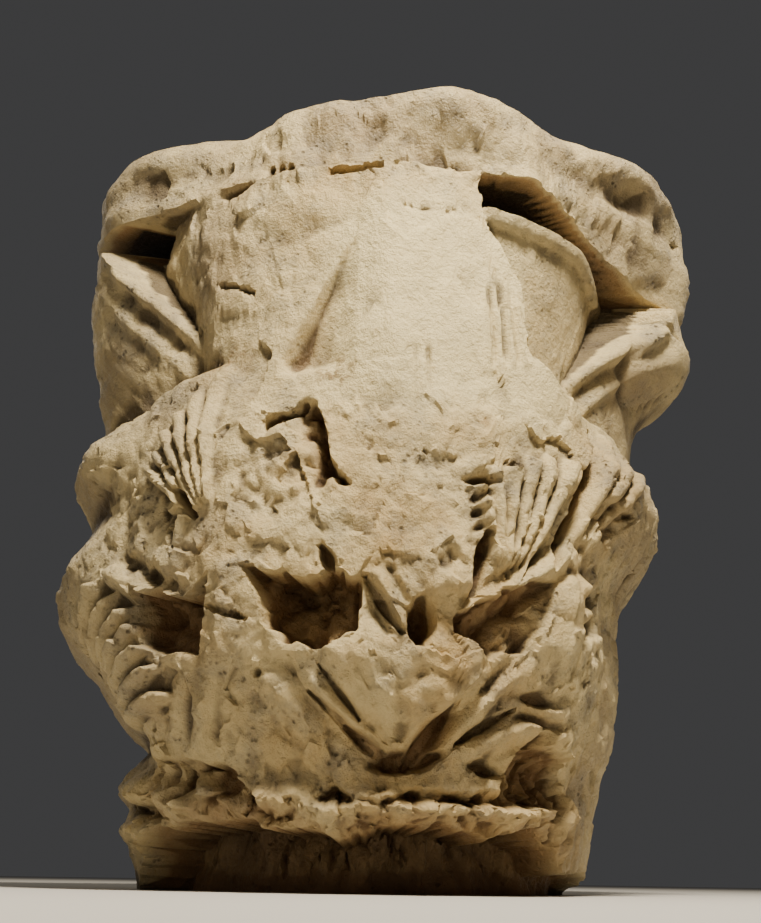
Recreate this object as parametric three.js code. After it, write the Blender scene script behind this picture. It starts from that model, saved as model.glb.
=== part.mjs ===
// Corinthian capital of a column, broken all round, carved from one block of pale limestone.
// Millimetres, +Z up. The origin is the centre of the lower bed, and the upper bed lies at HEIGHT.
// The abacus sides run parallel to X and Y. The front corner, the one that is broken away, points to +X -Y.
// Every radius is measured from the upright axis. Every turn is in degrees from the front corner,
// positive towards the corner at +X +Y.
import * as THREE from "three";

// Overall sizes
const HEIGHT = 900;
const ABACUS_UNDERSIDE = 800;
const LIP_TOP = 752;
const LIP_HEIGHT = 20;
const FRONT_CORNER_AZIMUTH = 45;
const NOMINAL_RADIUS = 338;
const MM_PER_DEGREE = (Math.PI * NOMINAL_RADIUS) / 180;

// Bell: the plain flaring core that the leaves stand against, its lip lost on the left of the front
const BELL_FOOT_RADIUS = 226;
const BELL_TOP_RADIUS = 296;
const BELL_FLARE = 2.2;
const LIP_RADIUS = 304;
const NECK_RADIUS = 226;
const LIP_LOST = { from: -79, to: 18.5, soft: 7 };

// Abacus: hollow sides at the back, and in front its broken outline as [turn, radius] pairs
const ABACUS_SIDE = 288;
const ABACUS_SAG = 230;
const ABACUS_FRONT_TURN = 98;
const ABACUS_TOP = [
  [-110, 360], [-94, 372], [-79, 352], [-66, 312], [-50, 250], [-31, 262], [-8, 268], [2, 296], [10, 310],
  [26, 306], [41, 304], [52, 328], [60, 362], [70, 392], [85, 412], [94, 412], [110, 350],
];
const ABACUS_FOOT = [
  [-110, 330], [-96, 372], [-82, 368], [-60, 304], [-42, 283], [-18, 272], [17, 290], [28, 308], [40, 303],
  [51, 301], [65, 327], [77, 372], [83, 412], [95, 414], [100, 404], [110, 340],
];
const UNDERSIDE_SAG = { drop: 60, from: 30, lowest: 78, back: 100, level: 128 };

// Fracture faces of the other three corners, as [height, radius] pairs from the volute's foot to the abacus
const LEFT_FRACTURE = [
  [470, 325], [516, 336], [591, 356], [647, 368], [690, 372], [817, 374], [870, 385], [900, 378],
];
const RIGHT_FRACTURE = [
  [480, 326], [535, 333], [576, 344], [604, 366], [630, 402], [668, 416], [712, 408], [740, 406], [809, 416],
  [850, 428], [900, 405],
];
const BACK_FRACTURE = [[480, 320], [560, 340], [640, 392], [700, 402], [800, 410], [870, 420], [900, 412]];
const VOLUTES = [
  { turn: -90, fracture: LEFT_FRACTURE, top: 778, level: 10 },
  { turn: 90, fracture: RIGHT_FRACTURE, top: 804, level: 2 },
  { turn: 180, fracture: BACK_FRACTURE, top: 804, level: 2 },
];
const VOLUTE_HALF_TURN = 6;
const VOLUTE_FALL = 40;
const VOLUTE_SLANT = 6;
const VOLUTE_FOOT = 475;

// Leaves: two rows of eight, the upper row set between the leaves of the lower row
const LEAF_COUNT = 8;
const LEAF_PITCH = 360 / LEAF_COUNT;
const LOWER_ROW = {
  turn: 0,
  foot: 0,
  top: 345,
  profile: [[0, 262], [60, 286], [100, 286], [150, 274], [180, 296], [230, 332], [270, 348], [345, 352]],
  curl: 34,
};
const UPPER_ROW = {
  turn: LEAF_PITCH / 2,
  foot: 190,
  top: 505,
  profile: [[200, 262], [290, 330], [340, 344], [420, 342], [500, 330]],
  curl: 36,
};
const LEAFLETS = 5;
const LEAFLET_DEPTH = 13;
const LEAF_CHANNEL = 46;

// Faces of the front leaves, which have lost their tips, as [height, radius] pairs on each side
const FRONT_PROFILE = [
  [0, 284], [56, 298], [68, 308], [80, 314], [92, 307], [106, 300], [140, 312], [190, 334], [240, 348],
  [300, 352], [350, 350], [420, 346], [500, 330], [560, 306],
];
const LEFT_PROFILE = [
  [0, 266], [20, 270], [46, 278], [65, 288], [84, 280], [110, 294], [132, 276], [149, 262], [174, 288],
  [227, 328], [257, 352], [294, 372], [331, 380], [352, 374], [376, 360], [409, 346], [440, 360], [470, 374],
  [490, 366], [520, 334], [560, 316],
];
const RIGHT_PROFILE = [
  [0, 252], [74, 262], [114, 270], [155, 287], [238, 300], [300, 299], [330, 306], [362, 328], [392, 348],
  [421, 356], [456, 350], [480, 332], [500, 322], [560, 314],
];
const LEAVES_END = { from: 515, to: 600, drop: 300 };

// Foot broken away in front, as [turn, height] pairs of the break's edge, and the core left behind it
const FOOT_BREAK = [
  [-74, 0], [-66, 40], [-60, 58], [-30, 62], [-10, 54], [6, 60], [24, 56], [34, 66], [42, 40], [47, 24],
  [60, 28], [84, 22], [98, 0],
];
const FOOT_CORE = 206;

// Rough band broken back above it: its upper edge as [turn, height] pairs, and a thin ledge left standing
const BAND_EDGE = [
  [-66, 150], [-52, 138], [-44, 128], [-36, 122], [-31, 104], [-26, 88], [-14, 94], [-4, 84], [2, 96],
  [19, 98], [23, 140], [28, 150], [36, 128], [39, 96], [48, 84],
];
const BAND_TURNS = { from: -66, to: 48, soft: 9 };
const BAND_DEPTH = 17;
const BAND_LEDGE = { height: 78, half: 8, turn: 3, wide: 20 };

// Torn gap between the leaf rows, as [turn, height] and [turn, depth] pairs
// Where its floor rises above its roof, the rows still join
const GAP_FLOOR = [
  [-52, 330], [-49, 250], [-44, 226], [-36.5, 224], [-34.8, 240], [-32.6, 330], [-29.5, 330], [-27, 304],
  [-24.5, 278], [-23, 244], [-20, 230], [-15, 226], [-8.3, 243], [-7, 330], [6, 330], [7.5, 243], [16, 227],
  [20, 227], [24, 262], [28, 330],
];
const GAP_ROOF = [
  [-55, 312], [-45, 290], [-39, 284], [-34, 302], [-31, 320], [-28, 304], [-20, 297], [-15, 290], [-13, 302],
  [-8, 292], [0, 300], [7, 250], [8, 262], [14, 280], [20, 300], [28, 308], [60, 300],
];
const GAP_DEPTH = [[-50, 66], [-36, 66], [-30, 80], [-16, 78], [-9, 56], [7, 50], [14, 32], [28, 26]];

// Scar of the front corner: two leaning fracture faces, given by turn, radius at SCAR_LEVEL and lean
const SCAR_LEVEL = 500;
const SCAR_FADE = { from: 455, to: 545 };
const SCAR_FACES = [
  { turn: 12, radius: 334, lean: 0.15 },
  { turn: -28, radius: 314, lean: 0.12 },
];
const SCAR_TURNS = { left: -60, whole: -28, spread: 14 };
const SCAR_EDGE = [[440, 36], [520, 34], [560, 25.5], [600, 24.5], [656, 24], [690, 21.5], [727, 18]];

// Fans of leaflets that remain, each spreading from a base point between two headings from the vertical
const FANS = [
  { turn: -33.7, height: 346, headings: [-50, -8], count: 4, start: 50, reach: 180, depth: 17, lift: 8 },
  { turn: 15.6, height: 275, headings: [-12, 32], count: 4, start: 40, reach: 162, depth: 14, lift: 8 },
  { turn: 22, height: 268, headings: [31, 46], count: 2, start: 110, reach: 256, depth: 15, lift: 3 },
  { turn: -80, height: 150, headings: [34, 84], count: 4, start: 70, reach: 218, depth: 26, lift: 8 },
  { turn: 90, height: -60, headings: [-24, 24], count: 5, start: 90, reach: 385, depth: 14, lift: -4 },
  { turn: -96, height: -60, headings: [-20, 12], count: 4, start: 90, reach: 360, depth: 14, lift: -4 },
  { turn: 67.5, height: 150, headings: [-14, 24], count: 4, start: 80, reach: 310, depth: 12, lift: -4 },
];

// Ribs and grooves between two [turn, height] points, with half width, and height or depth
const RIBS = [
  { from: [-58, 326], to: [-40, 266], half: 10, tall: 14 },
  { from: [-16.5, 198], to: [-3.5, 126], half: 7, tall: 10 },
  { from: [-24, 205], to: [-15, 128], half: 11, tall: 7 },
  { from: [20, 212], to: [7.5, 142], half: 8, tall: 9 },
  { from: [33, 180], to: [11, 132], half: 9, tall: 8 },
  { from: [-36.5, 226], to: [-47, 140], half: 9, tall: 5 },
  { from: [-72, 104], to: [-46, 88], half: 12, tall: 12 },
  { from: [-74, 60], to: [-54, 54], half: 12, tall: 8 },
  { from: [35, 244], to: [45, 268], half: 9, tall: 9 },
  { from: [33, 271], to: [45, 298], half: 9, tall: 9 },
  { from: [31, 298], to: [45, 328], half: 9, tall: 9 },
  { from: [8, 253], to: [30.5, 342], half: 9, tall: 11 },
];
const GROOVES = [
  { from: [-19.8, 500], to: [-12.5, 396], half: 13, deep: 34 },
  { from: [43, 496], to: [25, 318], half: 11, deep: 34 },
  { from: [-40, 486], to: [-34.5, 390], half: 10, deep: 14 },
  { from: [8, 168], to: [1, 118], half: 15, deep: 38 },
  { from: [-10.5, 154], to: [-1, 117], half: 9, deep: 26 },
  { from: [13.6, 348], to: [10.8, 284], half: 8, deep: 22 },
  { from: [-72, 84], to: [-50, 74], half: 9, deep: 14 },
];

// Ridges of the two lower leaves that still join the rows
const RIDGE_TURNS = [-31, 28.5];
const RIDGE_PROUD = 12;

// Wedge: the pointed mass that hangs in the middle of the lower row
const WEDGE = { tip: 118, top: 200, left: -13.8, right: 11.8, proud: 16 };

// Hollows broken in from the front, each with its place, half sizes in mm and depth
const HOLLOWS = [
  { turn: 1.8, height: 252, wide: 11, tall: 22, deep: 44 },
  { turn: 30, height: 112, wide: 42, tall: 30, deep: 26 },
  { turn: -35, height: 106, wide: 24, tall: 16, deep: 16 },
  { turn: 24, height: 188, wide: 24, tall: 8, deep: 18 },
  { turn: 13, height: 403, wide: 18, tall: 7, deep: 20 },
  { turn: 39, height: 284, wide: 40, tall: 54, deep: 16 },
  { turn: -23, height: 425, wide: 50, tall: 56, deep: 9 },
];

// Mesh: columns crowd towards the front, rows follow the carving up to LEAVES_TOP
const COLUMNS = 112;
const FRONT_CROWDING = 34;
const LEAF_ROWS = 33;
const LEAVES_TOP = 560;
const SAMPLE_STEP = 5;
const EVENED = 4;
const STEEPEST = 2.5;
const BELL_ROWS = [600, 640, 680, 710];
const LIP_ROWS = [LIP_TOP - LIP_HEIGHT, LIP_TOP - 2, LIP_TOP + 4, ABACUS_UNDERSIDE - 4];
const LIP_ROW_GAPS = [12, 8, 6, 4];
const ABACUS_ROWS = [850, HEIGHT];

const radians = THREE.MathUtils.degToRad;
const ramp = (from, to, x) => THREE.MathUtils.smoothstep(x, from, to);
const mix = THREE.MathUtils.lerp;
const clamp = THREE.MathUtils.clamp;

// Smallest signed turn between two directions
function turnFrom(turn, middle) {
  return THREE.MathUtils.euclideanModulo(turn - middle + 180, 360) - 180;
}

// One inside the half size, falling to nought over the soft margin
function inside(distance, half, soft) {
  return 1 - ramp(half, half + soft, Math.abs(distance));
}

// Value between [place, value] pairs, straight from pair to pair and held beyond the ends
function between(pairs, place) {
  if (place <= pairs[0][0]) return pairs[0][1];
  for (let i = 1; i < pairs.length; i++) {
    const [x0, y0] = pairs[i - 1];
    const [x1, y1] = pairs[i];
    if (place <= x1) return mix(y0, y1, (place - x0) / (x1 - x0));
  }
  return pairs[pairs.length - 1][1];
}

// Value along a smooth curve through [place, value] pairs, with each slope taken from the neighbours
function along(pairs, place) {
  const last = pairs.length - 1;
  const x = clamp(place, pairs[0][0], pairs[last][0]);
  let i = 0;
  while (i < last - 1 && x > pairs[i + 1][0]) i++;
  const slope = (k) => {
    const a = pairs[Math.max(0, k - 1)];
    const b = pairs[Math.min(last, k + 1)];
    return (b[1] - a[1]) / (b[0] - a[0]);
  };
  const span = pairs[i + 1][0] - pairs[i][0];
  const s = (x - pairs[i][0]) / span;
  const level = pairs[i][1] * (1 + 2 * s) * (1 - s) ** 2 + pairs[i + 1][1] * s * s * (3 - 2 * s);
  return level + span * (slope(i) * s * (1 - s) ** 2 - slope(i + 1) * s * s * (1 - s));
}

// Distance in mm from the straight line between two [turn, height] points, and the share along it
function lineGap(turn, z, from, to) {
  const u = turnFrom(turn, from[0]) * MM_PER_DEGREE;
  const v = z - from[1];
  const du = (to[0] - from[0]) * MM_PER_DEGREE;
  const dv = to[1] - from[1];
  const share = clamp((u * du + v * dv) / (du * du + dv * dv), 0, 1);
  return [Math.hypot(u - share * du, v - share * dv), share];
}

// Height of a rounded rib above the face
function ribRelief(rib, turn, z) {
  const [gap, share] = lineGap(turn, z, rib.from, rib.to);
  return rib.tall * Math.exp(-((gap / rib.half) ** 2)) * ramp(0, 0.12, share) * (1 - ramp(0.9, 1, share));
}

// Depth of a groove that tapers at both ends
function grooveDepth(groove, turn, z) {
  const [gap, share] = lineGap(turn, z, groove.from, groove.to);
  const width = groove.half * (0.35 + 0.65 * Math.sin(Math.PI * clamp(share, 0.04, 0.96)));
  return groove.deep * Math.exp(-((gap / width) ** 2));
}

// Relief of a fan of leaflets: the heading from its base is cut into equal fingers with round tips
function fanRelief(fan, turn, z) {
  const u = turnFrom(turn, fan.turn) * MM_PER_DEGREE;
  const v = z - fan.height;
  const distance = Math.hypot(u, v);
  const heading = THREE.MathUtils.radToDeg(Math.atan2(u, v));
  const place = (heading - fan.headings[0]) / (fan.headings[1] - fan.headings[0]);
  const wave = Math.sin(Math.PI * THREE.MathUtils.euclideanModulo(place * fan.count, 1));
  const finger = Math.max(0, wave) ** 0.7;
  const length = fan.reach * (0.86 + 0.14 * finger);
  const across = ramp(-0.08, 0.06, place) * (1 - ramp(0.94, 1.08, place));
  const begun = ramp(0.6 * fan.start, 1.4 * fan.start, distance);
  const on = across * begun * (1 - ramp(length - 16, length + 6, distance));
  return on * (fan.depth * (finger - 0.55) + fan.lift);
}

// Bell with its lip and the deep neck above it
function bellRadius(turn, z) {
  const core = mix(BELL_FOOT_RADIUS, BELL_TOP_RADIUS, Math.min(1, z / LIP_TOP) ** BELL_FLARE);
  const lip = z > LIP_TOP - LIP_HEIGHT - 1 ? LIP_RADIUS - BELL_TOP_RADIUS : 0;
  const whole = z > LIP_TOP ? NECK_RADIUS : core + lip;
  const left = ramp(LIP_LOST.from, LIP_LOST.from + LIP_LOST.soft, turn);
  const right = 1 - ramp(LIP_LOST.to - 1.5, LIP_LOST.to, turn);
  return mix(whole, core - 12 * ramp(LIP_TOP - 40, ABACUS_UNDERSIDE, z), left * right);
}

// Height of the abacus's underside, which comes down to the volute at the right corner
function undersideHeight(turn) {
  const falling = ramp(UNDERSIDE_SAG.from, UNDERSIDE_SAG.lowest, turn);
  const rising = ramp(UNDERSIDE_SAG.back, UNDERSIDE_SAG.level, turn);
  return ABACUS_UNDERSIDE - UNDERSIDE_SAG.drop * falling * (1 - rising);
}

// Abacus: a parabola on each side behind, and in front the broken outlines of its underside and top
function abacusRadius(turn, z) {
  const side = radians(turnFrom(turn, 45) - 90 * Math.round(turnFrom(turn, 45) / 90));
  let radius = (ABACUS_SIDE + ABACUS_SAG * Math.tan(side) ** 2) / Math.cos(side);
  for (const volute of VOLUTES) {
    const away = radians(turnFrom(turn, volute.turn));
    if (Math.abs(away) < 1) radius = Math.min(radius, along(volute.fracture, z) / Math.cos(0.55 * away));
  }
  const share = (z - undersideHeight(turn)) / (HEIGHT - undersideHeight(turn));
  const broken = mix(along(ABACUS_FOOT, turn), along(ABACUS_TOP, turn), share);
  const worn = 12 * ramp(0.7, 1, share);
  const corner = 12 * Math.sin(Math.PI * share) * ramp(66, 84, Math.abs(turn));
  const front = inside(turn, ABACUS_FRONT_TURN, 12);
  return mix(radius, broken + corner, front) - worn;
}

// One row of whole leaves: a fan of leaflets on the profile, with a curled tip and a channel on either side
function leafRadius(row, turn, z) {
  if (z > row.top + 10) return 0;
  const pitches = Math.round(turnFrom(turn, row.turn) / LEAF_PITCH);
  const off = turnFrom(turn, row.turn + pitches * LEAF_PITCH);
  const tall = row.top - row.foot;
  const climb = clamp((z - row.foot) / tall, 0, 1);
  const heading = Math.atan2(off * MM_PER_DEGREE, z - row.foot + 0.25 * tall) / radians(25);
  const blade = 1 - ramp(0.78, 1.02, Math.abs(heading));
  const round = 1 - ramp(0.8, 1.05, climb + 0.35 * Math.abs(heading) ** 3);
  const leaflets = LEAFLET_DEPTH * (Math.abs(Math.cos((Math.PI * LEAFLETS * heading) / 2)) ** 0.5 - 0.55);
  const centre = Math.max(0, 1 - (Math.abs(off) * MM_PER_DEGREE) / (0.5 * tall));
  const curl = row.curl * Math.exp(-(((z - row.top + 34) / 26) ** 2)) * centre;
  const face = along(row.profile, z);
  return mix(face - LEAF_CHANNEL, face + leaflets + curl, blade * round);
}

// Volute stump: a blade of stone from the bell out to its fracture, under a slanting upper edge
function voluteRadius(volute, turn, z) {
  const off = turnFrom(turn, volute.turn);
  const upper = volute.top - VOLUTE_SLANT * Math.max(0, Math.abs(off) - volute.level);
  if (z < VOLUTE_FOOT) return 0;
  const core = mix(BELL_FOOT_RADIUS, BELL_TOP_RADIUS, Math.min(1, z / LIP_TOP) ** BELL_FLARE);
  const reach = Math.max(0, along(volute.fracture, z) - core);
  return core + reach * inside(off, VOLUTE_HALF_TURN, VOLUTE_FALL) - core * ramp(upper - 10, upper + 26, z);
}

// Stump of the front volute: the nearer of two leaning fracture faces
function scarRadius(turn, z) {
  const faces = SCAR_FACES.map((face) => {
    const distance = face.radius - face.lean * (Math.max(z, SCAR_LEVEL - 30) - SCAR_LEVEL);
    return distance / Math.cos(radians(clamp(turn - face.turn, -70, SCAR_TURNS.spread)));
  });
  return Math.min(...faces);
}

// Front leaves as they are left: the three profiles blended by turn, with fans, ribs, ridges and the wedge
function frontBody(turn, z) {
  let body = mix(along(FRONT_PROFILE, z), along(LEFT_PROFILE, z), 1 - ramp(-74, -46, turn));
  body = mix(body, along(RIGHT_PROFILE, z), ramp(27, 54, turn));
  for (const fan of FANS) body += fanRelief(fan, turn, z);
  for (const rib of RIBS) body += ribRelief(rib, turn, z);
  for (const middle of RIDGE_TURNS) {
    const off = Math.abs(turn - middle) * MM_PER_DEGREE;
    body += RIDGE_PROUD * Math.exp(-off / 24) * ramp(170, 240, z) * (1 - ramp(300, 330, z));
  }
  const share = clamp((z - WEDGE.tip) / (WEDGE.top - WEDGE.tip), 0, 1);
  const left = WEDGE.left * share;
  const right = WEDGE.right * share;
  const sides = ramp(left - 1.5, left + 1.5, turn) * (1 - ramp(right - 1.5, right + 1.5, turn));
  const ends = ramp(WEDGE.tip - 3, WEDGE.tip + 2, z) * (1 - ramp(WEDGE.top + 15, WEDGE.top + 65, z));
  return body + WEDGE.proud * sides * ends;
}

// Depth of what is cut or broken into the front
function frontDepth(turn, z) {
  const floor = between(GAP_FLOOR, turn);
  const roof = between(GAP_ROOF, turn);
  const slope = mix(0.55, 1, ramp(0, 60, z - floor));
  const open = ramp(floor - 6, floor + 10, z) * (1 - ramp(roof - 8, roof + 5, z));
  let depth = between(GAP_DEPTH, turn) * slope * open;
  for (const groove of GROOVES) depth = Math.max(depth, grooveDepth(groove, turn, z));
  for (const hollow of HOLLOWS) {
    const across = (turnFrom(turn, hollow.turn) * MM_PER_DEGREE) / hollow.wide;
    const reach = Math.hypot(across, (z - hollow.height) / hollow.tall);
    depth = Math.max(depth, hollow.deep * (1 - ramp(0.45, 1.2, reach)));
  }
  return depth;
}

// Depth of the rough band round the foot of the front, less on its ledge
function bandDepth(turn, z) {
  const edge = between(BAND_EDGE, turn);
  const right = 1 - ramp(BAND_TURNS.to - BAND_TURNS.soft, BAND_TURNS.to, turn);
  const across = ramp(BAND_TURNS.from, BAND_TURNS.from + BAND_TURNS.soft, turn) * right;
  const ledge = Math.exp(-(((z - BAND_LEDGE.height) / BAND_LEDGE.half) ** 2));
  const kept = 0.9 * ledge * inside(turn - BAND_LEDGE.turn, BAND_LEDGE.wide, 12);
  return BAND_DEPTH * across * (1 - ramp(edge - 9, edge + 6, z)) * (1 - kept);
}

// Radius of the finished stone in one direction at one height
function stoneRadius(turn, z) {
  if (z >= undersideHeight(turn)) return abacusRadius(turn, z);
  const whole = Math.max(leafRadius(LOWER_ROW, turn, z), leafRadius(UPPER_ROW, turn, z));
  const body = frontBody(turn, z);
  const ending = LEAVES_END.drop * ramp(LEAVES_END.from, LEAVES_END.to, z);
  const leaves = mix(whole, body - ending, inside(turn, 96, 16));
  let radius = Math.max(bellRadius(turn, z), leaves);
  const scar = scarRadius(turn, z);
  const rightEdge = between(SCAR_EDGE, z);
  const stays = ramp(SCAR_TURNS.left, SCAR_TURNS.whole, turn) * (1 - ramp(rightEdge, rightEdge + 2, turn));
  const face = mix(body, scar, ramp(SCAR_FADE.from, SCAR_FADE.to, z));
  if (z > SCAR_FADE.from) radius = mix(radius, Math.max(bellRadius(turn, z), face), stays);
  for (const volute of VOLUTES) radius = Math.max(radius, voluteRadius(volute, turn, z));
  radius -= frontDepth(turn, z) + bandDepth(turn, z);
  if (turn > FOOT_BREAK[0][0] && turn < FOOT_BREAK[FOOT_BREAK.length - 1][0]) {
    const edge = between(FOOT_BREAK, turn);
    radius = mix(Math.min(radius, FOOT_CORE), radius, ramp(edge - 8, edge + 6, z));
  }
  return radius;
}

// Turn of each column, closest together in front
function columnTurns() {
  const turns = [];
  for (let i = 0; i < COLUMNS; i++) {
    const share = i / COLUMNS - 0.5;
    turns.push(turnFrom(360 * share - FRONT_CROWDING * Math.sin(2 * Math.PI * share), 0));
  }
  return turns;
}

// Weight of each height step in a column: the length of the carved profile, held where it is very steep
function stepWeights(turn) {
  const weights = [];
  for (let z = 0; z < LEAVES_TOP; z += SAMPLE_STEP) {
    const slope = (stoneRadius(turn, z + SAMPLE_STEP) - stoneRadius(turn, z)) / SAMPLE_STEP;
    weights.push(Math.min(STEEPEST, Math.hypot(1, slope)));
  }
  return weights;
}

// Heights of the rows in every column: equal shares of the weights, evened out with the columns beside
function columnHeights(turns) {
  const weights = turns.map(stepWeights);
  return turns.map((turn, i) => {
    const shared = weights[i].map((_, k) => {
      let sum = 0;
      for (let beside = -EVENED; beside <= EVENED; beside++) {
        sum += (EVENED + 1 - Math.abs(beside)) * weights[(i + beside + COLUMNS) % COLUMNS][k];
      }
      return sum;
    });
    const total = shared.reduce((sum, weight) => sum + weight, 0);
    const heights = [];
    let climbed = 0;
    shared.forEach((weight, k) => {
      while (heights.length < LEAF_ROWS - 1 && (heights.length * total) / (LEAF_ROWS - 1) < climbed + weight) {
        const part = ((heights.length * total) / (LEAF_ROWS - 1) - climbed) / weight;
        heights.push((k + part) * SAMPLE_STEP);
      }
      climbed += weight;
    });
    const underside = undersideHeight(turn);
    const lip = LIP_ROWS.map((height, k) => Math.min(height, underside - LIP_ROW_GAPS[k]));
    return [...heights, LEAVES_TOP, ...BELL_ROWS, ...lip, underside, ...ABACUS_ROWS];
  });
}

// Triangles of the grid, each cell split along the diagonal that lies nearer to the carved surface
function fittingDiagonals(turns, columns) {
  const points = columns[0].length + 2;
  const triangles = [];
  turns.forEach((turn, column) => {
    const after = (column + 1) % COLUMNS;
    const middle = turnFrom(turn + 0.5 * turnFrom(turns[after], turn), 0);
    for (let row = 0; row < points - 1; row++) {
      const a = column * points + row;
      const [b, c, d] = [a + points, a + points + 1, a + 1];
      if (row === 0) {
        triangles.push(a, c, d);
        continue;
      }
      if (row === points - 2) {
        triangles.push(a, b, d);
        continue;
      }
      const [here, next] = [columns[column], columns[after]];
      const level = stoneRadius(middle, (here[row - 1] + here[row] + next[row - 1] + next[row]) / 4);
      const rising = 0.5 * (stoneRadius(turn, here[row - 1]) + stoneRadius(turns[after], next[row]));
      const falling = 0.5 * (stoneRadius(turns[after], next[row - 1]) + stoneRadius(turn, here[row]));
      if (Math.abs(rising - level) < Math.abs(falling - level)) triangles.push(a, b, c, a, c, d);
      else triangles.push(a, b, d, c, d, b);
    }
  });
  return triangles;
}

// A lathe with one profile point per row, each vertex then moved to its carved height and radius
function carvedStone() {
  const turns = columnTurns();
  const columns = columnHeights(turns);
  const rows = columns[0].length;
  const profile = [new THREE.Vector2(0, 0)];
  for (let row = 0; row < rows; row++) profile.push(new THREE.Vector2(1, row));
  profile.push(new THREE.Vector2(0, HEIGHT));
  const geometry = new THREE.LatheGeometry(profile, COLUMNS);
  geometry.rotateX(Math.PI / 2);
  const position = geometry.getAttribute("position");
  for (let i = 0; i < position.count; i++) {
    const row = (i % profile.length) - 1;
    if (row < 0 || row === rows) continue;
    const column = Math.floor(i / profile.length) % COLUMNS;
    const z = columns[column][row];
    const radius = stoneRadius(turns[column], z);
    const azimuth = radians(turns[column] + FRONT_CORNER_AZIMUTH);
    position.setXYZ(i, radius * Math.sin(azimuth), -radius * Math.cos(azimuth), z);
  }
  geometry.setIndex(fittingDiagonals(turns, columns));
  geometry.computeVertexNormals();
  return geometry;
}

const limestone = new THREE.MeshStandardMaterial({ color: 0xd8c8a4, roughness: 0.9, metalness: 0 });

const group = new THREE.Group();
group.name = "corinthian_capital";

const capital = new THREE.Mesh(carvedStone(), limestone);
capital.name = "capital";
group.add(capital);

export default group;
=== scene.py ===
import math

import bpy
import numpy as np
from bpy.props import FloatProperty, PointerProperty, StringProperty
from mathutils import Matrix, Vector


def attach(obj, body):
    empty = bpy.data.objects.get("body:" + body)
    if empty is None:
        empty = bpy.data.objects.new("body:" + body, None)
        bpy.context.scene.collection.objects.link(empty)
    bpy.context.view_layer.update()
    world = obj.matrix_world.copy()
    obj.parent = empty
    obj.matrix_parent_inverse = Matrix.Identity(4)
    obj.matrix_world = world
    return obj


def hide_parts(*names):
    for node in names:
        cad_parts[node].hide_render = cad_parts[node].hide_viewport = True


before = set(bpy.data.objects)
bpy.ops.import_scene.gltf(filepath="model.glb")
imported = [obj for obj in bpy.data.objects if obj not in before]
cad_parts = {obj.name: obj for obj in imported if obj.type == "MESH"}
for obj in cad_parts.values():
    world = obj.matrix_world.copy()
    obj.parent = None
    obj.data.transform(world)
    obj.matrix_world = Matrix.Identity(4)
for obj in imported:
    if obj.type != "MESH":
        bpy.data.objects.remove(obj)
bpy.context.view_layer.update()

bl_info = {
    "name": "Broken Corinthian capital",
    "version": (1, 0, 0),
    "blender": (4, 5, 0),
    "location": "3D View > Sidebar > Capital",
    "description": "Carves a broken limestone capital and sets it on a plain studio floor",
    "category": "Object",
}

# Lengths are millimetres until a mesh is made. A turn is an angle in degrees about the upright axis,
# counted from the broken front corner and positive towards the corner at +X +Y.
MM = 0.001
FRONT_CORNER_AZIMUTH = 45.0
NOMINAL_RADIUS = 338.0
MM_PER_DEGREE = math.pi * NOMINAL_RADIUS / 180.0

# Overall sizes
HEIGHT = 900.0
ABACUS_UNDERSIDE = 800.0
LIP_TOP = 752.0
LIP_HEIGHT = 20.0
LIP_FOOT = LIP_TOP - LIP_HEIGHT
LIP_RADIUS = 304.0
LIP_SAG = 26.0
BELL_FOOT_RADIUS = 226.0
BELL_TOP_RADIUS = 296.0
BELL_FLARE = 2.2
NECK_RADIUS = 226.0

# Abacus: hollow sides at the back, and in front its outline by turn at the top and at the underside
ABACUS_SIDE = 288.0
ABACUS_SAG = 230.0
ABACUS_TOP = (
    (-110, 360), (-94, 372), (-79, 352), (-66, 312), (-50, 250), (-31, 262), (-8, 268), (2, 296), (10, 310),
    (26, 306), (41, 304), (52, 328), (60, 362), (70, 392), (85, 412), (94, 412), (110, 350),
)
ABACUS_FOOT = (
    (-110, 330), (-96, 372), (-82, 368), (-60, 304), (-42, 283), (-18, 272), (17, 290), (28, 308), (40, 303),
    (51, 301), (65, 327), (77, 372), (83, 412), (95, 414), (100, 404), (110, 340),
)
UNDERSIDE_DROP = 60.0

# Dent in the abacus as turn, height, half width and half height, and drilled holes as (turn, height) pairs
ABACUS_DENT = (62.0, 852, 60, 34)
DRILLED_HOLES = ((80.0, 835), (-31.0, 808), (-34.0, 812), (-28.0, 806))
HOLE_REACH = 7
HOLE_DEPTH = 14.0

# Fracture faces of the other three corners: radius by height, from the volute's foot to the abacus's top
LEFT_FRACTURE = (
    (470, 325), (516, 336), (591, 356), (647, 368), (690, 372), (817, 374), (870, 385), (900, 378),
)
RIGHT_FRACTURE = (
    (480, 326), (535, 333), (576, 344), (604, 366), (630, 402), (668, 416), (712, 408), (740, 406),
    (809, 416), (850, 428), (900, 405),
)
BACK_FRACTURE = ((480, 320), (560, 340), (640, 392), (700, 402), (800, 410), (870, 420), (900, 412))

# Volute stumps: turn, fracture, height of the upper edge in the middle, and the turn over which it is level
VOLUTES = (
    (-90.0, LEFT_FRACTURE, 778.0, 10.0),
    (90.0, RIGHT_FRACTURE, 804.0, 2.0),
    (180.0, BACK_FRACTURE, 804.0, 2.0),
)
VOLUTE_SLANT = 6.0

# Round end of the right volute: turn and height of its middle, half width and half height
SCROLL = (71.0, 638.0, 40, 48)

# Stump of the front corner: each fracture face as turn, radius and lean
SCAR_LEVEL = 500.0
SCAR_FOOT = 470.0
SCAR_FACES = ((12.0, 334.0, 0.15), (-28.0, 314.0, 0.12))
SCAR_SPREAD = 14.0

# Right edge of the stump as (height, turn) pairs, and the turns of two upright lines scored on it
SCAR_EDGE = ((440, 36), (520, 34), (560, 25.5), (600, 24.5), (656, 24), (690, 21.5), (727, 18))
SCORED_LINES = (1.4, 3.8)

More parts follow.
